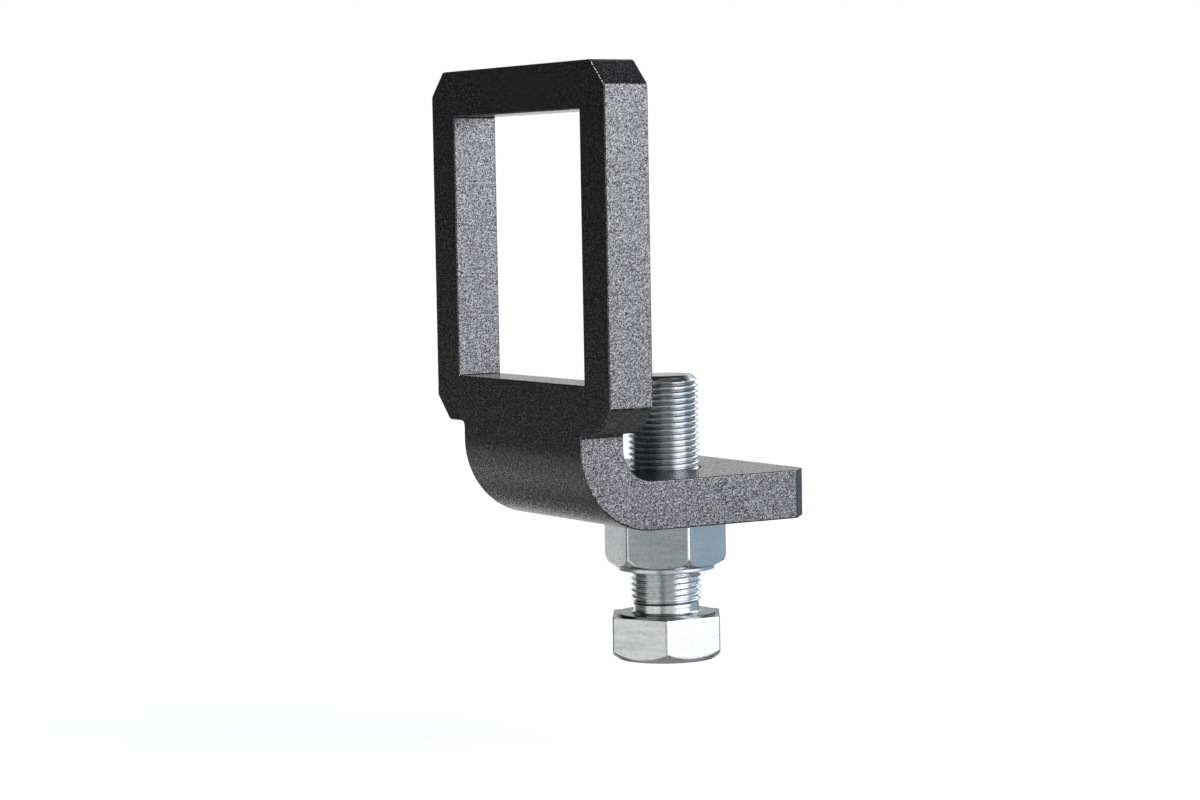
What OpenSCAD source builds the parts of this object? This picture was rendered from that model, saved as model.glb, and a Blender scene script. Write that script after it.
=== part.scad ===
// Beam clamp: a cranked plate bracket hangs on a bar that passes through its window, and a
// fine-threaded bolt, screwed up through the bracket's foot, presses a beam flange against
// that bar. A lock nut under the foot holds the bolt's setting.
// Origin: centre of the window's lower inner face, the sill. +X points the way the foot
// points, +Z is up along the bolt, and the part is symmetric about Y = 0.

/* [Bracket] */
// Thickness of the plate, upright and foot alike
plate_t = 12; // [10:0.5:14]
// Width of the window
window_w = 61; // [50:1:70]
// Height of the window
window_h = 65; // [50:1:80]
// Width of the four bars round the window
frame_bar = 11.5; // [9:0.5:14]
// Size of the 45 degree chamfers on the frame's outer corners
frame_chamfer = 6; // [3:0.5:8]
// Width of the neck, the bend and the foot
neck_w = 57; // [50:1:60]
// Fillet where the frame's shoulder meets the neck
neck_fillet = 1.5; // [0.5:0.5:2.5]
// Drop from the sill to the foot's underside
foot_drop = 36; // [35:1:45]
// Inner radius of the bend
bend_r = 8; // [6:0.5:9]
// Reach of the foot from the middle of the upright's plate
foot_reach = 61.5; // [58:0.5:75]
// Size of the 45 degree chamfers on the foot's end corners
foot_chamfer = 5; // [2:0.5:8]

/* [Clamp bolt] */
// Nominal diameter of the thread
thread_d = 18; // [16:1:20]
// Pitch of the thread
thread_pitch = 1.5; // [1:0.25:2]
// Length of the bolt under its head
bolt_len = 60; // [55:5:70]
// Distance of the bolt's axis from the middle of the upright's plate
bolt_x = 35.5; // [34:0.5:38]
// Distance of the bolt's tip below the sill
tip_drop = 0.5; // [0:0.5:10]
// Width of both hexagons across their flats
hex_af = 27; // [24:1:30]
// Height of the bolt's head
head_h = 11.5; // [10:0.5:13]
// Turn of the head about the bolt's axis
head_turn = -3; // [-30:0.5:30]

/* [Lock nut] */
// Height of the nut, with the washer face on its lower side
nut_h = 13.5; // [9:0.5:15]
// Turn of the nut about the bolt's axis
nut_turn = 19.5; // [-30:0.5:30]

/* [Hidden] */
$fn = 96;

// Radial gap that leaves the thread running free in the foot and in the nut
thread_gap = 0.05;
// Depth of the V grooves that stand for the thread
groove_depth = 0.61 * thread_pitch;
// Width of the thread's flat crests
crest_w = thread_pitch / 8;
// Size of the countersink at the mouths of the foot's hole and of the nut's bore
countersink = 0.8;
// Size of the bolt's tip chamfer
tip_chamfer = 1.5;
// Length of the plain run-out under the head, and its step below the thread's crests
runout_len = 4.5;
runout_step = 0.65;
// Radius of the round washer faces on the head and on the nut, and their two heights
washer_r = 0.46 * hex_af;
head_washer_h = 0.5;
nut_washer_h = 0.8;
// Radius of the hexagons' chamfered ends, and the slope of the head's chamfer
hex_end_r = 0.468 * hex_af;
head_end_slope = 38;
// Slope of the nut's chamfers, and the radius where its lower corners turn steeper
nut_end_slope = 30;
nut_corner_r = 0.552 * hex_af;
nut_corner_slope = 65;
// Overcut that carries a cut clear of the face it starts from
clear = 1;

frame_w = window_w + 2 * frame_bar;
bend_outer_r = bend_r + plate_t;
back_x = -plate_t / 2;
shoulder_z = -frame_bar;
frame_top_z = window_h + frame_bar;
foot_bottom_z = -foot_drop;
foot_top_z = foot_bottom_z + plate_t;
bend_z = foot_bottom_z + bend_outer_r;
bend_x = back_x + bend_outer_r;
tip_z = -tip_drop;
head_top_z = tip_z - bolt_len;
thread_r = thread_d / 2 - thread_gap;
runout_r = thread_r - runout_step;
hole_r = thread_d / 2;
hex_corner_r = hex_af / sqrt(3) + clear;
nut_corner_z = (nut_corner_r - hex_end_r) * tan(nut_end_slope);

// The hexagons' ends, as radius and height above the end, inside to outside.
function cone_end(slope) = [
    [hex_end_r, 0],
    [hex_corner_r, (hex_corner_r - hex_end_r) * tan(slope)]
];
head_lower_end = cone_end(head_end_slope);
head_upper_end = [[hex_corner_r, 0]];
nut_lower_end = [
    [hex_end_r, 0],
    [nut_corner_r, nut_corner_z],
    [hex_corner_r, nut_corner_z + (hex_corner_r - nut_corner_r) * tan(nut_corner_slope)]
];
nut_upper_end = cone_end(nut_end_slope);

// The frame seen along the plate's thickness: X runs across the frame and Y up it.
module frame_outline() {
    half = frame_w / 2;
    inset = half - frame_chamfer;
    low = shoulder_z + frame_chamfer;
    high = frame_top_z - frame_chamfer;
    difference() {
        polygon([
            [-inset, shoulder_z], [inset, shoulder_z], [half, low], [half, high],
            [inset, frame_top_z], [-inset, frame_top_z], [-half, high], [-half, low]
        ]);
        translate([-window_w / 2, 0]) square([window_w, window_h]);
    }
}

// A concave fillet that fills the corner at the origin, towards -X and -Y.
module corner_fillet(r) {
    difference() {
        translate([-r, -r]) square(r + clear / 10);
        translate([-r, -r]) circle(r);
    }
}

// The two fillets between the shoulder and the neck, in the frame's outline plane.
module neck_fillets() {
    for (side = [-1, 1])
        scale([side, 1])
            translate([neck_w / 2, shoulder_z]) mirror([1, 0]) corner_fillet(neck_fillet);
}

// Stands an outline drawn in X and Y upright in the plane of the plate.
module upright() {
    translate([back_x, 0, 0]) rotate([90, 0, 90]) linear_extrude(plate_t) children();
}

// Neck, bend and foot seen from the side: X runs along the foot and Y up the neck.
module crank_profile() {
    translate([back_x, bend_z]) square([plate_t, shoulder_z - bend_z + clear]);
    translate([bend_x, foot_bottom_z]) square([foot_reach - bend_x, plate_t]);
    intersection() {
        difference() {
            translate([bend_x, bend_z]) circle(bend_outer_r);
            translate([bend_x, bend_z]) circle(bend_r);
        }
        translate([back_x, foot_bottom_z]) square(bend_outer_r);
    }
}

// Cuts one 45 degree corner off the foot's end, on the side given as -1 or 1.
module foot_corner_cut(side) {
    reach = foot_chamfer * sqrt(2);
    translate([foot_reach, side * neck_w / 2, foot_bottom_z + plate_t / 2])
        rotate([0, 0, 45]) cube([reach, reach, plate_t + 2 * clear], center = true);
}

// A through hole upwards from the origin, countersunk at both of its mouths.
module countersunk_hole(length) {
    wide = hole_r + countersink;
    translate([0, 0, -clear]) cylinder(r = hole_r, h = length + 2 * clear);
    translate([0, 0, -clear]) cylinder(r1 = wide + clear, r2 = hole_r, h = countersink + clear);
    translate([0, 0, length - countersink])
        cylinder(r1 = hole_r, r2 = wide + clear, h = countersink + clear);
}

// A hexagonal prism upwards from the origin, with each end cut back to its own shape.
module hexagon(height, lower_end, upper_end) {
    last = len(upper_end) - 1;
    top = [for (i = [last:-1:0]) [upper_end[i][0], height - upper_end[i][1]]];
    intersection() {
        cylinder(r = hex_af / sqrt(3), h = height, $fn = 6);
        rotate_extrude() polygon(concat([[0, 0]], lower_end, top, [[0, height]]));
    }
}

// Steel plate bracket: window frame, neck, bend and tapped foot in one piece.
module bracket() {
    color([0.09, 0.09, 0.10])
        difference() {
            union() {
                upright() frame_outline();
                upright() neck_fillets();
                translate([0, neck_w / 2, 0]) rotate([90, 0, 0])
                    linear_extrude(neck_w) crank_profile();
            }
            for (side = [-1, 1]) foot_corner_cut(side);
            translate([bolt_x, 0, foot_bottom_z]) countersunk_hole(plate_t);
        }
}

// Hexagonal lock nut, seated against the foot's underside, with its washer face below.
module lock_nut() {
    color([0.75, 0.77, 0.78])
        translate([bolt_x, 0, foot_bottom_z - nut_h])
            difference() {
                union() {
                    cylinder(r = washer_r, h = nut_washer_h + clear);
                    translate([0, 0, nut_washer_h]) rotate([0, 0, nut_turn])
                        hexagon(nut_h - nut_washer_h, nut_lower_end, nut_upper_end);
                }
                countersunk_hole(nut_h);
            }
}

// Half section of the washer face and the shank: run-out, V grooves and chamfered tip.
// The washer face reaches a little way down into the head, so that the two fuse.
function groove(z) = [
    [thread_r, z + crest_w / 2],
    [thread_r - groove_depth, z + thread_pitch / 2 - crest_w / 2],
    [thread_r - groove_depth, z + thread_pitch / 2 + crest_w / 2],
    [thread_r, z + thread_pitch - crest_w / 2]
];
groove_count = floor((bolt_len - runout_len - tip_chamfer) / thread_pitch);
shank_profile = concat(
    [[0, -head_washer_h - clear], [washer_r, -head_washer_h - clear]],
    [[washer_r, 0], [runout_r, 0]],
    [[runout_r, runout_len - (thread_r - runout_r)], [thread_r, runout_len]],
    [for (i = [0:groove_count - 1]) each groove(runout_len + i * thread_pitch)],
    [[thread_r, bolt_len - tip_chamfer], [thread_r - tip_chamfer, bolt_len], [0, bolt_len]]
);

// Hexagon-head bolt, threaded to its head, pointing up.
module clamp_bolt() {
    color([0.80, 0.82, 0.83])
        translate([bolt_x, 0, head_top_z]) {
            rotate_extrude() polygon(shank_profile);
            translate([0, 0, -head_h]) rotate([0, 0, head_turn])
                hexagon(head_h - head_washer_h, head_lower_end, head_upper_end);
        }
}

bracket();
lock_nut();
clamp_bolt();
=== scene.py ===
"""Looks of the beam clamp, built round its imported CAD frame.

Lengths are in millimetres until a mesh is written, which scales them to metres. The row
frame has its origin at the middle of the window's sill, +X along the foot and +Z up.
"""
import math

import bmesh
import bpy
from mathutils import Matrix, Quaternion, Vector
from mathutils.geometry import tessellate_polygon


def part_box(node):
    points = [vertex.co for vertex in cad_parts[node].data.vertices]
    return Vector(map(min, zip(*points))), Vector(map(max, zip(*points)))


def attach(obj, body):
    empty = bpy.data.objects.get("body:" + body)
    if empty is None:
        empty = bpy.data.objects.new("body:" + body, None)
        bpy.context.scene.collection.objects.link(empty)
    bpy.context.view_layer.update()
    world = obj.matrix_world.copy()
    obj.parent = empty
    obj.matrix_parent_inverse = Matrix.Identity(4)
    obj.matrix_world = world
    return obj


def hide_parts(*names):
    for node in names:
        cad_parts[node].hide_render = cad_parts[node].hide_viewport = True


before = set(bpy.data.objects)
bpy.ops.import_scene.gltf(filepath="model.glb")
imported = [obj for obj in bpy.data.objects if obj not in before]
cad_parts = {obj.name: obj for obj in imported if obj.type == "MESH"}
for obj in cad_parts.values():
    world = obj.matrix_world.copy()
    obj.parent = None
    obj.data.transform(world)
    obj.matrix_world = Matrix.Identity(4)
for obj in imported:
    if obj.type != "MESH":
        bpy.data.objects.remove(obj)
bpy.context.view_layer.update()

MM = 0.001

# Bracket: the plate, taken from its CAD box where the box says it.
PLATE_LOW, PLATE_HIGH = (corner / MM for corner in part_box("bracket"))
PLATE_T = -2 * PLATE_LOW.x
FRAME_HALF_W = PLATE_HIGH.y
FRAME_TOP_Z = PLATE_HIGH.z
FOOT_END_X = PLATE_HIGH.x
FOOT_BOTTOM_Z = PLATE_LOW.z
FOOT_TOP_Z = FOOT_BOTTOM_Z + PLATE_T
FRAME_BAR = 11.5
FRAME_CHAMFER = 6
WINDOW_H = FRAME_TOP_Z - FRAME_BAR
NECK_HALF_W = 28.5
NECK_FILLET = 1.5
FOOT_CHAMFER = 5
BEND_INNER_R = 8
BEND_MID_R = BEND_INNER_R + PLATE_T / 2
BEND_STEPS = 28
# Where the bend starts and ends, measured down the flat plate from the frame's top.
BEND_U = FRAME_TOP_Z - FOOT_BOTTOM_Z - BEND_INNER_R - PLATE_T
FOOT_U = BEND_U + BEND_MID_R * math.pi / 2
# Rounding of the plate's edges, and of the corners of its outline and window.
EDGE_R = 0.35
EDGE_STEPS = 4
CORNER_R = 1.6
WINDOW_CORNER_R = 0.4
CORNER_STEPS = 5

# Fasteners: the M18 x 1.5 thread and its two 27 mm hexagons.
NUT_LOW, NUT_HIGH = (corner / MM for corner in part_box("lock_nut"))
BOLT_LOW, BOLT_HIGH = (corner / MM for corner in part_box("clamp_bolt"))
BOLT_X = 35.5
PITCH = 1.5
# The bolt's crests and the depth of its thread, the crests of the threads in the holes,
# and the gap between the two threads' flanks.
CREST_R = 8.94
THREAD_DEPTH = 0.9
INNER_CREST_R = 8.19
FLANK_GAP = 0.05
BOLT_LEN = 60
SEAT_Z = BOLT_HIGH.z - BOLT_LEN
TIP_CHAMFER = 1.5
# Under the head: the run-out, its plain stretch, and the fillet down to the seat.
RUNOUT_R = 8.3
RUNOUT_LEN = 4.5
PLAIN_LEN = 1.5
HEAD_FILLET = 0.8
FILLET_BORDER = 0.3
FILLET_STEPS = 4
HEX_AF = 27
HEX_END_R = 0.468 * HEX_AF
HEX_FAR_R = 0.6 * HEX_AF
HEX_CORNER_R = 0.9
WASHER_R = 0.46 * HEX_AF
HEAD_WASHER_H = 0.5
NUT_WASHER_H = 0.8
HEAD_SLOPE = math.tan(math.radians(38))
NUT_SLOPE = math.tan(math.radians(30))
NUT_CORNER_SLOPE = math.tan(math.radians(65))
NUT_CORNER_R = 0.552 * HEX_AF
NUT_CORNER_Z = (NUT_CORNER_R - HEX_END_R) * NUT_SLOPE
# The hexagons' end chamfers, as radius and height above the end. The head's upper end,
# under its washer face, has none.
HEAD_LOW_END = ((HEX_END_R, 0), (HEX_FAR_R, (HEX_FAR_R - HEX_END_R) * HEAD_SLOPE))
HEAD_HIGH_END = ()
NUT_LOW_END = (
    (HEX_END_R, 0),
    (NUT_CORNER_R, NUT_CORNER_Z),
    (HEX_FAR_R, NUT_CORNER_Z + (HEX_FAR_R - NUT_CORNER_R) * NUT_CORNER_SLOPE),
)
NUT_HIGH_END = ((HEX_END_R, 0), (HEX_FAR_R, (HEX_FAR_R - HEX_END_R) * NUT_SLOPE))
COUNTERSINK_R = 9.8
HEAD_TURN = -3
NUT_TURN = 19.5
AROUND = 96

# One pitch of the thread, from crest to crest: place along the pitch and depth, 0 to 1.
THREAD_PROFILE = (
    (0.00, 0.00), (0.05, 0.01), (0.09, 0.06), (0.25, 0.50), (0.41, 0.94),
    (0.50, 1.00), (0.59, 0.94), (0.75, 0.50), (0.91, 0.06), (0.95, 0.01),
)


# ---------------------------------------------------------------- meshes

def new_object(name, bm):
    """Writes a bmesh that is in millimetres to a smooth-shaded object in metres."""
    bmesh.ops.recalc_face_normals(bm, faces=bm.faces)
    for vert in bm.verts:
        vert.co *= MM
    for face in bm.faces:
        face.smooth = True
    mesh = bpy.data.meshes.new(name)
    bm.to_mesh(mesh)
    bm.free()
    obj = bpy.data.objects.new(name, mesh)
    bpy.context.scene.collection.objects.link(obj)
    return obj


def weight_normals(obj, sharp_degrees=40):
    """Keeps flat faces flat beside their rounded edges, and marks the sharp creases."""
    obj.data.set_sharp_from_angle(angle=math.radians(sharp_degrees))
    weighted = obj.modifiers.new("weighted_normals", "WEIGHTED_NORMAL")
    weighted.keep_sharp = True
    weighted.weight = 80


def rounded_loop(corners):
    """An outline's points, from its corners in order as (x, y, corner radius)."""
    points = []
    for i, (x, y, radius) in enumerate(corners):
        corner = Vector((x, y))
        back = (Vector(corners[i - 1][:2]) - corner).normalized()
        ahead = (Vector(corners[(i + 1) % len(corners)][:2]) - corner).normalized()
        half = back.angle(ahead) / 2
        middle = corner + (back + ahead).normalized() * radius / math.sin(half)
        start = corner + back * radius / math.tan(half) - middle
        sweep = math.copysign(math.pi - 2 * half, -back.cross(ahead))
        for step in range(CORNER_STEPS + 1):
            turn = sweep * step / CORNER_STEPS
            points.append((
                middle.x + start.x * math.cos(turn) - start.y * math.sin(turn),
                middle.y + start.x * math.sin(turn) + start.y * math.cos(turn),
            ))
    return points


def inset_loop(points, distance):
    """Moves each side of an outline to its left by a distance."""
    moved = []
    for i, point in enumerate(points):
        here = Vector(point)
        before = (here - Vector(points[i - 1])).normalized()
        after = (Vector(points[(i + 1) % len(points)]) - here).normalized()
        left = Vector((-before.y - after.y, before.x + after.x)).normalized()
        share = left.dot(Vector((-after.y, after.x)))
        moved.append(tuple(here + left * distance / share))
    return moved


def bridge(bm, ring_a, ring_b):
    """Quads between two closed rings of as many vertices each."""
    for i in range(len(ring_a)):
        j = (i + 1) % len(ring_a)
        bm.faces.new((ring_a[i], ring_a[j], ring_b[j], ring_b[i]))


def bridge_rings(bm, rings):
    for ring_a, ring_b in zip(rings, rings[1:]):
        bridge(bm, ring_a, ring_b)


def fan(bm, ring):
    """Closes a ring with triangles round its middle."""
    middle = bm.verts.new(sum((v.co for v in ring), Vector()) / len(ring))
    for i in range(len(ring)):
        bm.faces.new((ring[i], ring[(i + 1) % len(ring)], middle))


def circle_ring(bm, radius, z, middle_x=BOLT_X):
    return [
        bm.verts.new((
            middle_x + radius * math.cos(math.tau * i / AROUND),
            radius * math.sin(math.tau * i / AROUND),
            z,
        ))
        for i in range(AROUND)
    ]


def thread_surface(bm, z_low, z_high, radius_at, ring_low, ring_high):
    """A right-hand helical surface about the bolt's axis, between two end rings.

    Its rows of vertices run along the helix, and radius_at(z, depth) gives their radius.
    Rows outside the two ends collapse into the end rings, which the caller makes. All
    threads share one phase, so they mesh at rest and after whole turns.
    """
    per_pitch = len(THREAD_PROFILE)
    first = math.floor(z_low / PITCH) - 1
    turns = math.ceil(z_high / PITCH) + 1 - first
    columns = []
    for i in range(AROUND):
        angle = math.tau * i / AROUND
        column = []
        for row in range(turns * per_pitch + 1):
            place, depth = THREAD_PROFILE[row % per_pitch]
            z = PITCH * (first + row // per_pitch + place + i / AROUND)
            if z <= z_low:
                column.append(ring_low[i])
            elif z >= z_high:
                column.append(ring_high[i])
            else:
                radius = radius_at(z, depth)
                column.append(bm.verts.new((
                    BOLT_X + radius * math.cos(angle), radius * math.sin(angle), z,
                )))
        columns.append(column)
    for i in range(AROUND):
        seam_shift = per_pitch if i == AROUND - 1 else 0
        left = columns[i]
        right = columns[(i + 1) % AROUND][seam_shift:]
        for row in range(min(len(left), len(right)) - 1):
            corners = (left[row], right[row], right[row + 1], left[row + 1])
            unique = list(dict.fromkeys(corners))
            if len(unique) > 2:
                bm.faces.new(unique)


def inner_thread(bm, z_low, z_high, ring_low, ring_high):
    """The thread of a tapped hole, with a 45 degree countersink at each mouth."""
    def radius_at(z, depth):
        cone = COUNTERSINK_R - min(z - z_low, z_high - z)
        return max(INNER_CREST_R, CREST_R + FLANK_GAP - THREAD_DEPTH * depth, cone)

    thread_surface(bm, z_low, z_high, radius_at, ring_low, ring_high)


# ---------------------------------------------------------------- bracket

def bracket_outlines():
    """Outer outline and window of the flat plate, before it is bent.

    The first coordinate runs from the frame's top down the upright, round the bend and
    out along the foot, and the second is the row frame's Y.
    """
    shoulder = FRAME_TOP_Z + FRAME_BAR
    inset_w = FRAME_HALF_W - FRAME_CHAMFER
    end = FOOT_U + FOOT_END_X - BEND_MID_R
    one_side = [
        (0, inset_w, CORNER_R),
        (FRAME_CHAMFER, FRAME_HALF_W, CORNER_R),
        (shoulder - FRAME_CHAMFER, FRAME_HALF_W, CORNER_R),
        (shoulder, inset_w, CORNER_R),
        (shoulder, NECK_HALF_W, NECK_FILLET),
        (end - FOOT_CHAMFER, NECK_HALF_W, CORNER_R),
        (end, NECK_HALF_W - FOOT_CHAMFER, CORNER_R),
    ]
    other_side = [(u, -y, radius) for u, y, radius in reversed(one_side)]
    outer = rounded_loop(one_side[::-1] + other_side[::-1])
    half_window = FRAME_HALF_W - FRAME_BAR
    top, sill = FRAME_BAR, FRAME_BAR + WINDOW_H
    window = rounded_loop([
        (top, -half_window, WINDOW_CORNER_R),
        (top, half_window, WINDOW_CORNER_R),
        (sill, half_window, WINDOW_CORNER_R),
        (sill, -half_window, WINDOW_CORNER_R),
    ])
    return outer, window


def bent(flat):
    """Where a point of the flat plate, with its height over the mid-plane, ends up."""
    u, y, w = flat
    if u <= BEND_U:
        return Vector((w, y, FRAME_TOP_Z - u))
    if u >= FOOT_U:
        return Vector((BEND_MID_R + u - FOOT_U, y, FOOT_BOTTOM_Z + PLATE_T / 2 + w))
    turn = (u - BEND_U) / BEND_MID_R
    radius = BEND_MID_R - w
    x = BEND_MID_R - radius * math.cos(turn)
    return Vector((x, y, FRAME_TOP_Z - BEND_U - radius * math.sin(turn)))


def rounded_rim(bm, loop):
    """The plate's edge along one outline, with both its corners rounded.

    The material lies to the outline's left. Returns the rings that border the two flat
    faces.
    """
    flat_half = PLATE_T / 2 - EDGE_R
    rings = []
    for face in (-1, 1):
        for step in range(EDGE_STEPS + 1):
            share = step / EDGE_STEPS if face > 0 else 1 - step / EDGE_STEPS
            turn = share * math.pi / 2
            inset = inset_loop(loop, EDGE_R * (1 - math.cos(turn)))
            w = face * (flat_half + EDGE_R * math.sin(turn))
            rings.append([bm.verts.new((u, y, w)) for u, y in inset])
    bridge_rings(bm, rings)
    return rings[0], rings[-1]


def fill_face(bm, rings):
    """Triangles over a flat face between its outer ring and the rings of its holes."""
    verts = [vert for ring in rings for vert in ring]
    flat = [[Vector((v.co.x, v.co.y, 0)) for v in ring] for ring in rings]
    for corners in tessellate_polygon(flat):
        bm.faces.new([verts[i] for i in corners])


def make_bracket():
    """One bent plate: frame, neck, bend and tapped foot."""
    bm = bmesh.new()
    outer, window = bracket_outlines()
    outer_rings = rounded_rim(bm, outer)
    window_rings = rounded_rim(bm, window)
    hole_u = FOOT_U + BOLT_X - BEND_MID_R
    hole_rings = [
        circle_ring(bm, COUNTERSINK_R, face * PLATE_T / 2, hole_u) for face in (-1, 1)
    ]
    for rings in zip(outer_rings, window_rings, hole_rings):
        fill_face(bm, rings)
    for step in range(BEND_STEPS + 1):
        cut_u = BEND_U + (FOOT_U - BEND_U) * step / BEND_STEPS
        bmesh.ops.bisect_plane(
            bm, geom=bm.verts[:] + bm.edges[:] + bm.faces[:], dist=1e-5,
            plane_co=(cut_u, 0, 0), plane_no=(1, 0, 0),
        )
    for vert in bm.verts:
        vert.co = bent(vert.co)
    inner_thread(bm, FOOT_BOTTOM_Z, FOOT_TOP_Z, hole_rings[0], hole_rings[1])
    obj = new_object("bent_plate_bracket", bm)
    weight_normals(obj)
    return obj


# ---------------------------------------------------------------- fasteners

def hexagon_points(turn):
    """The hexagon's outline with rounded corners, as offsets from the bolt's axis."""
    per_corner = 7
    per_flat = AROUND // 6 - per_corner
    corner_at = HEX_AF / math.sqrt(3) - HEX_CORNER_R / math.cos(math.radians(30))
    points = []
    for corner in range(6):
        heading = math.radians(60 * corner + turn)
        middle = Vector((math.cos(heading), math.sin(heading))) * corner_at
        for step in range(per_corner):
            angle = heading + math.radians(-30 + 60 * step / (per_corner - 1))
            arm = Vector((math.cos(angle), math.sin(angle))) * HEX_CORNER_R
            points.append(middle + arm)
        ahead = math.radians(60 * corner + 60 + turn)
        start = points[-1]
        next_middle = Vector((math.cos(ahead), math.sin(ahead))) * corner_at
        flat_heading = heading + math.radians(30)
        arm = Vector((math.cos(flat_heading), math.sin(flat_heading))) * HEX_CORNER_R
        end = next_middle + arm
        for step in range(1, per_flat + 1):
            points.append(start.lerp(end, step / (per_flat + 1)))
    return points


def chamfer_height(end_chamfer, radius):
    """Height of an end chamfer at a radius."""
    height = 0
    for (r_a, z_a), (r_b, z_b) in zip(end_chamfer, end_chamfer[1:]):
        share = min(1, max(0, (radius - r_a) / (r_b - r_a)))
        height += share * (z_b - z_a)
    return height


def hexagon_end(bm, end_z, inwards, turn, chamfer):
    """Rings of one end of a hexagon, from its flat face out over the chamfer to the flats.

    inwards is 1 or -1, the way along Z into the hexagon. The creases where the chamfer
    meets the face and the flats are rounded a little.
    """
    crease = 0.22

    def cut(radius):
        return chamfer_height(chamfer, radius)

    ring_shapes = (
        lambda r: (HEX_END_R - crease / 2, 0),
        lambda r: (HEX_END_R, cut(HEX_END_R + crease) / 4),
        lambda r: (HEX_END_R + crease, cut(HEX_END_R + crease)),
        lambda r: (r - 2 * crease, cut(r - 2 * crease)),
        lambda r: (r - crease, cut(r - crease)),
        lambda r: (r - crease / 4, cut(r) + crease / 5),
        lambda r: (r, cut(r) + crease),
        lambda r: (r, cut(r) + 3 * crease),
        lambda r: (r, cut(HEX_AF / math.sqrt(3)) + 4 * crease),
    )
    rings = []
    for shape in ring_shapes:
        ring = []
        for point in hexagon_points(turn):
            radius, height = shape(point.length)
            at = point.normalized() * radius
            ring.append(bm.verts.new((BOLT_X + at.x, at.y, end_z + inwards * height)))
        rings.append(ring)
    return rings


def hexagon_rings(bm, z_low, z_high, turn, low_chamfer, high_chamfer):
    """Rings of a whole hexagon, from its lower face out over its flats to its upper face."""
    lower = hexagon_end(bm, z_low, 1, turn, low_chamfer)
    upper = hexagon_end(bm, z_high, -1, turn, high_chamfer)
    return lower + upper[::-1]


def nearest_start(ring, other):
    """Rotates a ring's order so that its first vertex is the nearest to other's first."""
    gaps = [(vert.co - other[0].co).length for vert in ring]
    start = gaps.index(min(gaps))
    return ring[start:] + ring[:start]


def washer_rings(bm, end_z, height, outwards):
    """Rings of a round washer face, from the hexagon out to the face's rounded edge."""
    edge = 0.15
    return [
        circle_ring(bm, WASHER_R, end_z),
        circle_ring(bm, WASHER_R, end_z + outwards * (height - edge)),
        circle_ring(bm, WASHER_R - 0.3 * edge, end_z + outwards * (height - 0.3 * edge)),
        circle_ring(bm, WASHER_R - edge, end_z + outwards * height),
    ]


def make_nut():
    """Hexagon nut with chamfered ends, a washer face below and an internal thread."""
    bm = bmesh.new()
    z_low, z_high = NUT_LOW.z, NUT_HIGH.z
    z_hexagon = z_low + NUT_WASHER_H
    hexagon = hexagon_rings(
        bm, z_hexagon, z_high, NUT_TURN, NUT_LOW_END, NUT_HIGH_END)
    bridge_rings(bm, hexagon)
    lower_mouth = circle_ring(bm, COUNTERSINK_R, z_low)
    upper_mouth = circle_ring(bm, COUNTERSINK_R, z_high)
    washer = washer_rings(bm, z_hexagon, NUT_WASHER_H, -1)
    bridge(bm, nearest_start(hexagon[0], washer[0]), washer[0])
    bridge_rings(bm, washer + [lower_mouth])
    bridge(bm, nearest_start(hexagon[-1], upper_mouth), upper_mouth)
    inner_thread(bm, z_low, z_high, lower_mouth, upper_mouth)
    obj = new_object("hexagon_lock_nut", bm)
    weight_normals(obj)
    return obj


def make_bolt():
    """Hexagon bolt with its thread, run-out, head fillet, washer face and tip chamfer."""
    bm = bmesh.new()
    z_tip = BOLT_HIGH.z
    z_runout = SEAT_Z + PLAIN_LEN
    z_hexagon = SEAT_Z - HEAD_WASHER_H
    head = hexagon_rings(
        bm, BOLT_LOW.z, z_hexagon, HEAD_TURN, HEAD_LOW_END, HEAD_HIGH_END)
    bridge_rings(bm, head)
    fan(bm, head[0])
    neck = washer_rings(bm, z_hexagon, HEAD_WASHER_H, 1)
    neck.append(circle_ring(bm, RUNOUT_R + HEAD_FILLET + FILLET_BORDER, SEAT_Z))
    for step in range(FILLET_STEPS + 1):
        turn = math.pi / 2 * step / FILLET_STEPS
        radius = RUNOUT_R + HEAD_FILLET * (1 - math.sin(turn))
        neck.append(circle_ring(bm, radius, SEAT_Z + HEAD_FILLET * (1 - math.cos(turn))))
    neck.append(circle_ring(bm, RUNOUT_R, z_runout))
    bridge(bm, nearest_start(head[-1], neck[0]), neck[0])
    bridge_rings(bm, neck)
    tip = circle_ring(bm, CREST_R - TIP_CHAMFER, z_tip)
    fan(bm, tip)

    def radius_at(z, depth):
        share = min(1, max(0, (z - z_runout) / (RUNOUT_LEN - PLAIN_LEN)))
        share = share * share * (3 - 2 * share)
        thread = CREST_R - THREAD_DEPTH * depth
        cone = CREST_R - TIP_CHAMFER + z_tip - z
        return min(RUNOUT_R + (thread - RUNOUT_R) * share, cone)

    thread_surface(bm, z_runout, z_tip, radius_at, neck[-1], tip)
    obj = new_object("hexagon_clamp_bolt", bm)
    weight_normals(obj)
    return obj


# ---------------------------------------------------------------- materials

# Textures take their place in millimetres, so their scales are per millimetre. Bump
# distances are in metres.

def add_node(tree, kind, inputs=(), **settings):
    """Adds a shader node. Each input is (name or index, value or another node's socket)."""
    made = tree.nodes.new(kind)
    for name, value in settings.items():
        setattr(made, name, value)
    for key, value in inputs:
        if isinstance(value, bpy.types.NodeSocket):
            tree.links.new(value, made.inputs[key])
        else:
            made.inputs[key].default_value = value
    return made


def material_base(name):
    """A material with an empty Principled surface, and its coordinates in millimetres."""
    made = bpy.data.materials.new(name)
    made.use_nodes = True
    tree = made.node_tree
    shader = tree.nodes["Principled BSDF"]
    coords = add_node(tree, "ShaderNodeTexCoord").outputs["Object"]
    return made, tree, shader, vector_node(tree, "MULTIPLY", coords, [1 / MM] * 3)


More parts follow.
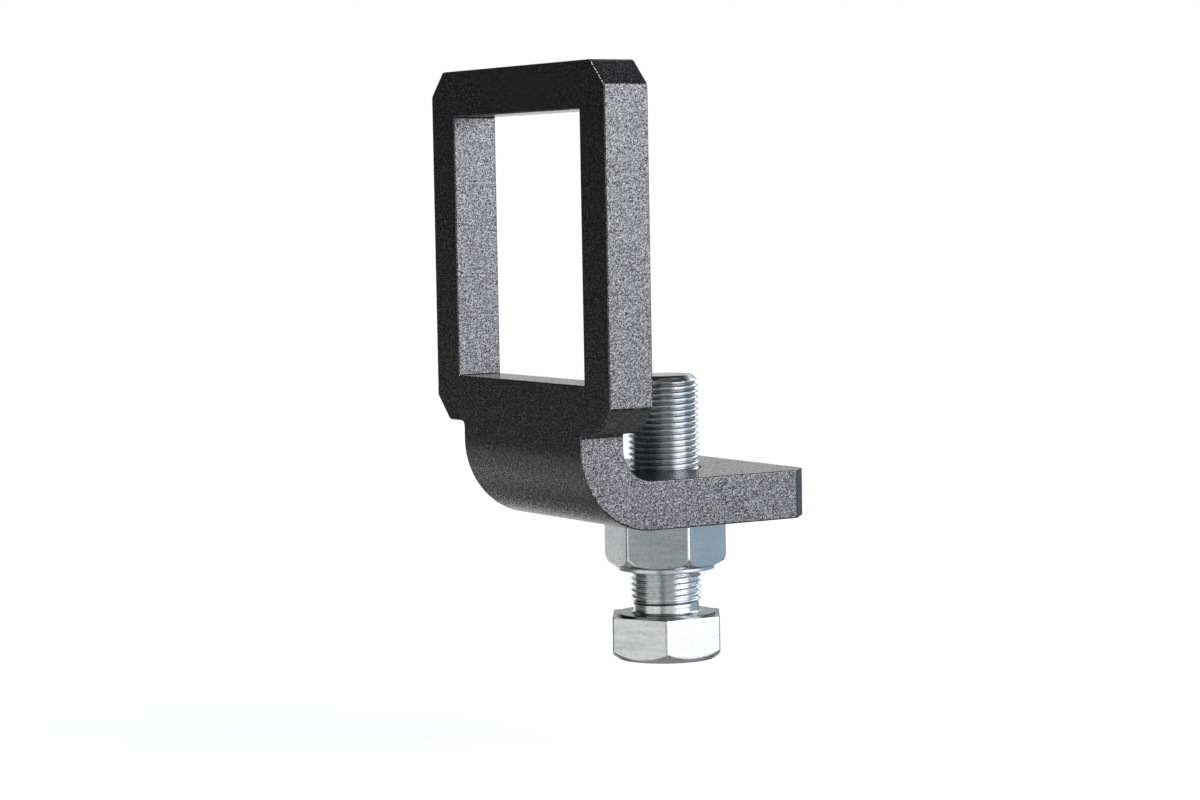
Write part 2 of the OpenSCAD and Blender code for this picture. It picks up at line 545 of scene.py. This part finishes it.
def link_surface(tree, shader, colour, roughness, bump):
    """Feeds a Principled surface its colour, roughness and bumped normal."""
    tree.links.new(colour, shader.inputs["Base Color"])
    tree.links.new(roughness, shader.inputs["Roughness"])
    tree.links.new(bump.outputs["Normal"], shader.inputs["Normal"])


def math_node(tree, operation, a, b=0):
    node = add_node(tree, "ShaderNodeMath", [(0, a), (1, b)], operation=operation)
    return node.outputs[0]


def vector_node(tree, operation, *inputs):
    node = add_node(tree, "ShaderNodeVectorMath", enumerate(inputs), operation=operation)
    return node.outputs["Vector"]


def split(tree, vector):
    """The three components of a vector."""
    return add_node(tree, "ShaderNodeSeparateXYZ", [(0, vector)]).outputs


def noise(tree, vector, scale, detail=2.0, roughness=0.5):
    node = add_node(tree, "ShaderNodeTexNoise", [
        ("Vector", vector), ("Scale", scale), ("Detail", detail), ("Roughness", roughness),
    ])
    return node.outputs["Fac"]


def remap(tree, value, low, high, to_low, to_high):
    node = add_node(tree, "ShaderNodeMapRange", [
        ("Value", value), ("From Min", low), ("From Max", high),
        ("To Min", to_low), ("To Max", to_high),
    ])
    return node.outputs["Result"]


def mix_colour(tree, share, colour_a, colour_b):
    node = add_node(tree, "ShaderNodeMix", [(0, share)], data_type="RGBA")
    for key, colour in ((6, colour_a), (7, colour_b)):
        if isinstance(colour, bpy.types.NodeSocket):
            tree.links.new(colour, node.inputs[key])
        else:
            node.inputs[key].default_value = (*colour, 1)
    return node.outputs[2]


def powder_coat():
    """Black fine-textured powder coat: quarter-millimetre grains over soft pebbles.

    Each grain leans its own way and has its own shade and gloss, which makes the coat
    sparkle where light grazes it.
    """
    made, tree, shader, at = material_base("black_powder_coat")
    fine = noise(tree, at, 1.9, 1.5, 0.5)
    coarse = noise(tree, at, 0.9, 1.0)
    pebbles = add_node(tree, "ShaderNodeTexVoronoi", [
        ("Vector", at), ("Scale", 1.7), ("Smoothness", 0.6),
    ], feature="SMOOTH_F1").outputs["Distance"]
    height = math_node(tree, "SUBTRACT", fine, math_node(tree, "MULTIPLY", pebbles, 0.7))
    height = math_node(tree, "ADD", height, math_node(tree, "MULTIPLY", coarse, 0.3))
    grains = add_node(tree, "ShaderNodeTexVoronoi", [
        ("Vector", at), ("Scale", 4.2),
    ]).outputs["Color"]
    lean = vector_node(tree, "SUBTRACT", grains, (0.5, 0.5, 0.5))
    normal = add_node(tree, "ShaderNodeNewGeometry").outputs["Normal"]
    leaning = vector_node(tree, "MULTIPLY_ADD", lean, (0.18, 0.18, 0.18), normal)
    bump = add_node(tree, "ShaderNodeBump", [
        ("Strength", 1.0), ("Distance", 0.00003), ("Height", height),
        ("Normal", vector_node(tree, "NORMALIZE", leaning)),
    ])
    shade = split(tree, grains)["X"]
    colour = mix_colour(tree, shade, (0.003, 0.003, 0.003), (0.015, 0.015, 0.016))
    gloss = remap(tree, shade, 0, 1, 0.08, 0.92)
    tree.links.new(gloss, shader.inputs["Specular IOR Level"])
    shader.inputs["IOR"].default_value = 2.06
    link_surface(tree, shader, colour, remap(tree, fine, 0.3, 0.7, 0.18, 0.26), bump)
    return made


def painted_recess_shade(tree, at):
    """Painted shade, 0 to 1, that darkens the plating's colour in the thread's roots and on
    the head's seat.

    The painted shade in the roots grows from the head, where the thread is bright, to the
    tip.
    """
    x, y, z = split(tree, at)
    off_axis = math_node(tree, "SUBTRACT", x, BOLT_X)
    reach = math_node(tree, "SQRT", math_node(
        tree, "ADD",
        math_node(tree, "MULTIPLY", off_axis, off_axis),
        math_node(tree, "MULTIPLY", y, y),
    ))
    root = math_node(
        tree, "MULTIPLY",
        remap(tree, reach, CREST_R - THREAD_DEPTH, CREST_R, 1, 0),
        remap(tree, z, SEAT_Z + 2, SEAT_Z + 4, 0, 1),
    )
    root_share = remap(tree, z, SEAT_Z + 10, SEAT_Z + BOLT_LEN, 0.05, 0.75)
    normal = add_node(tree, "ShaderNodeTexCoord").outputs["Normal"]
    facing_up = remap(tree, split(tree, normal)["Z"], 0.6, 0.9, 0, 1)
    washer_side = remap(tree, z, SEAT_Z - 0.5, SEAT_Z - 0.4, 0, 1)
    seat = math_node(
        tree, "MULTIPLY",
        math_node(tree, "MAXIMUM", facing_up, washer_side),
        remap(tree, z, SEAT_Z, SEAT_Z + 0.4, 1, 0),
    )
    return math_node(
        tree, "MAXIMUM",
        math_node(tree, "MULTIPLY", root, root_share),
        math_node(tree, "MULTIPLY", seat, 0.92),
    )


def zinc_plate():
    """Bright zinc plating, faintly blue, with dark specks and rolling streaks on the head,
    and painted shade in the thread's roots and on the head's seat.
    """
    made, tree, shader, at = material_base("bright_zinc")
    cloud = noise(tree, at, 0.16, 3.0, 0.55)
    mottle = noise(tree, at, 1.1, 4.0, 0.6)
    bands = noise(tree, vector_node(tree, "MULTIPLY", at, (0.12, 0.12, 0.8)), 1.0, 3.0, 0.65)
    specks = add_node(tree, "ShaderNodeTexVoronoi", [
        ("Vector", at), ("Scale", 0.55),
    ]).outputs["Distance"]
    on_head = remap(tree, split(tree, at)["Z"], SEAT_Z - 0.5, SEAT_Z - 1.5, 0, 1)
    streak = math_node(tree, "MULTIPLY", remap(tree, bands, 0.42, 0.62, 0, 0.3), on_head)
    colour = mix_colour(
        tree, remap(tree, cloud, 0.35, 0.65, 0, 1), (0.70, 0.76, 0.80), (0.80, 0.80, 0.77))
    for share, mark in (
        (remap(tree, mottle, 0.45, 0.70, 0, 0.32), (0.52, 0.56, 0.60)),
        (remap(tree, specks, 0.05, 0.12, 0.6, 0), (0.25, 0.26, 0.27)),
        (streak, (0.42, 0.43, 0.43)),
        # Painted shade: the thread's roots and the head's seat are darkened towards
        # near-black.
        (painted_recess_shade(tree, at), (0.10, 0.105, 0.11)),
    ):
        colour = mix_colour(tree, share, colour, mark)
    roughness = math_node(
        tree, "ADD",
        remap(tree, mottle, 0.3, 0.7, 0.14, 0.24),
        remap(tree, bands, 0.3, 0.7, 0.0, 0.08),
    )
    bump = add_node(tree, "ShaderNodeBump", [
        ("Strength", 0.5), ("Distance", 0.00004), ("Height", mottle),
    ])
    shader.inputs["Metallic"].default_value = 1.0
    link_surface(tree, shader, colour, roughness, bump)
    return made


# ---------------------------------------------------------------- stage

# The floor lies just below the bolt's head at its lowest setting.
SCREW_DROP = 22.5
FLOOR_Z = BOLT_LOW.z - SCREW_DROP - 2
FLOOR_R = 6000
# Distances from the origin, in metres, between which the floor fades to the background.
FADE_START = 0.25
FADE_END = 1.1
WHITE = (1.0, 1.0, 1.0)

# Light round the clamp, as panels seen from it: heading from +X with the half widths of
# the bright core and the faded edge, elevation with the same, brightness and tint.
PANELS = (
    ("key", -60, 10, 34, 18, 6, 40, 4.2, (0.95, 0.95, 1.05)),
    ("key glow", -104, 14, 36, 0, 25, 45, 0.60, (1.0, 1.0, 1.0)),
    ("background", 72, 24, 34, -6, 12, 24, 1.0, (1.0, 1.0, 0.99)),
    ("back top", 57, 30, 50, 50, 15, 30, 0.40, (1.0, 1.0, 1.0)),
    ("left fill", 190, 20, 34, 0, 28, 46, 0.76, (1.0, 1.0, 0.98)),
    ("low left", 135, 25, 48, -20, 8, 18, 0.26, (1.0, 1.0, 1.0)),
    ("front fill", -140, 14, 32, 0, 25, 40, 0.10, (0.90, 1.0, 1.0)),
    ("right fill", -4, 26, 44, 0, 25, 45, 0.42, (0.68, 0.9, 1.12)),
    ("right glow", 14, 24, 44, 26, 6, 16, 1.5, (0.95, 1.0, 1.03)),
    ("ceiling", 0, 180, 181, 90, 25, 45, 0.04, (1.0, 1.0, 1.0)),
    ("floor", 0, 180, 181, -80, 30, 55, 0.28, (1.0, 1.0, 1.0)),
)
ROOM_LIGHT = (0.03, 0.03, 0.033)


def fade(tree, value, middle, core, edge):
    """1 within the core's distance of a middle angle, 0 beyond the edge's, in degrees."""
    away = math_node(tree, "SUBTRACT", value, middle)
    away = add_node(tree, "ShaderNodeMath", [(0, away), (1, 180), (2, -180)],
                    operation="WRAP").outputs[0]
    away = math_node(tree, "ABSOLUTE", away)
    return add_node(tree, "ShaderNodeMapRange", [
        ("Value", away), ("From Min", edge), ("From Max", core),
    ], interpolation_type="SMOOTHSTEP").outputs["Result"]


def studio():
    """White to the camera. Everything else sees a dim room with light panels in it."""
    world = bpy.data.worlds.new("studio")
    world.use_nodes = True
    bpy.context.scene.world = world
    tree = world.node_tree
    tree.nodes.clear()
    towards = add_node(tree, "ShaderNodeTexCoord").outputs["Generated"]
    x, y, z = split(tree, towards)
    heading = math_node(tree, "DEGREES", math_node(tree, "ARCTAN2", y, x))
    elevation = math_node(tree, "DEGREES", math_node(tree, "ARCSINE", z))
    total = ROOM_LIGHT
    for name, azimuth, core_w, edge_w, height, core_h, edge_h, brightness, tint in PANELS:
        share = math_node(
            tree, "MULTIPLY",
            fade(tree, heading, azimuth, core_w, edge_w),
            fade(tree, elevation, height, core_h, edge_h),
        )
        light = add_node(tree, "ShaderNodeVectorMath", [
            (0, [brightness * channel for channel in tint]), ("Scale", share),
        ], operation="SCALE")
        light.label = name
        total = vector_node(tree, "ADD", light.outputs["Vector"], total)
    room = add_node(tree, "ShaderNodeBackground", [("Color", total)])
    white = add_node(tree, "ShaderNodeBackground", [("Color", (*WHITE, 1))])
    seen = add_node(tree, "ShaderNodeLightPath").outputs["Is Camera Ray"]
    mixed = add_node(tree, "ShaderNodeMixShader", [
        (0, seen), (1, room.outputs[0]), (2, white.outputs[0]),
    ])
    add_node(tree, "ShaderNodeOutputWorld", [("Surface", mixed.outputs[0])])


def make_floor():
    """A pale round floor that fades into the white background far from the clamp."""
    bm = bmesh.new()
    bmesh.ops.create_circle(bm, cap_ends=True, segments=AROUND, radius=FLOOR_R)
    for vert in bm.verts:
        vert.co.z = FLOOR_Z
    floor = new_object("floor", bm)
    made = bpy.data.materials.new("pale_floor")
    made.use_nodes = True
    tree = made.node_tree
    tree.nodes.clear()
    coords = add_node(tree, "ShaderNodeTexCoord").outputs["Object"]
    reach = add_node(tree, "ShaderNodeVectorMath", [(0, coords)],
                     operation="LENGTH").outputs["Value"]
    far = remap(tree, reach, FADE_START, FADE_END, 0, 1)
    seen = add_node(tree, "ShaderNodeLightPath").outputs["Is Camera Ray"]
    diffuse = add_node(tree, "ShaderNodeBsdfDiffuse", [("Color", (0.8, 0.8, 0.8, 1))])
    glow = add_node(tree, "ShaderNodeEmission", [("Color", (0.66, 0.66, 0.66, 1))])
    near_floor = add_node(tree, "ShaderNodeAddShader", [
        (0, diffuse.outputs[0]), (1, glow.outputs[0]),
    ])
    background = add_node(tree, "ShaderNodeEmission", [("Color", (*WHITE, 1))])
    mixed = add_node(tree, "ShaderNodeMixShader", [
        (0, math_node(tree, "MULTIPLY", far, seen)),
        (1, near_floor.outputs[0]), (2, background.outputs[0]),
    ])
    add_node(tree, "ShaderNodeOutputMaterial", [("Surface", mixed.outputs[0])])
    floor.data.materials.append(made)
    floor.visible_glossy = False
    floor.visible_diffuse = False


def make_edge_lamp(bracket):
    """A small lamp on the bracket alone, for the glint along its frame's top corner."""
    heading = math.radians(160)
    elevation = math.radians(29)
    distance = 1500
    data = bpy.data.lights.new("edge_lamp", "AREA")
    data.shape = "DISK"
    data.size = 0.45
    data.energy = 12
    lamp = bpy.data.objects.new("edge_lamp", data)
    lamp.location = distance * MM * Vector((
        math.cos(elevation) * math.cos(heading),
        math.cos(elevation) * math.sin(heading),
        math.sin(elevation),
    ))
    lamp.rotation_mode = "QUATERNION"
    lamp.rotation_quaternion = lamp.location.to_track_quat("Z", "Y")
    lamp.visible_diffuse = False
    bpy.context.scene.collection.objects.link(lamp)
    lit = bpy.data.collections.new("edge_lit")
    lit.objects.link(bracket)
    lamp.light_linking.receiver_collection = lit


def make_camera():
    """Sees the upright's plain face and near edge, from level with the window's middle."""
    place = Vector((-370.9, -635.1, 45.0))
    target = Vector((17.0, 0, -6.0))
    roll = math.radians(-1.04)
    data = bpy.data.cameras.new("camera")
    data.lens = 90
    data.sensor_width = 36
    data.clip_start = 0.05
    camera = bpy.data.objects.new("camera", data)
    camera.location = place * MM
    aim = (target - place).to_track_quat("-Z", "Y")
    camera.rotation_mode = "QUATERNION"
    camera.rotation_quaternion = aim @ Quaternion((0, 0, 1), roll)
    bpy.context.scene.collection.objects.link(camera)
    bpy.context.scene.camera = camera


# ---------------------------------------------------------------- assembly

coat = powder_coat()
zinc = zinc_plate()
pieces = {}
for make, material, node_name, slot_name in (
    (make_bracket, coat, "bracket", "powder_coat"),
    (make_nut, zinc, "lock_nut", "zinc"),
    (make_bolt, zinc, "clamp_bolt", "zinc"),
):
    piece = make()
    pieces[node_name] = piece
    piece.data.materials.append(material)
    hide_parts(node_name)
    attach(piece, node_name)

bpy.context.scene.view_settings.view_transform = "Standard"
studio()
make_floor()
make_edge_lamp(pieces["bracket"])
make_camera()
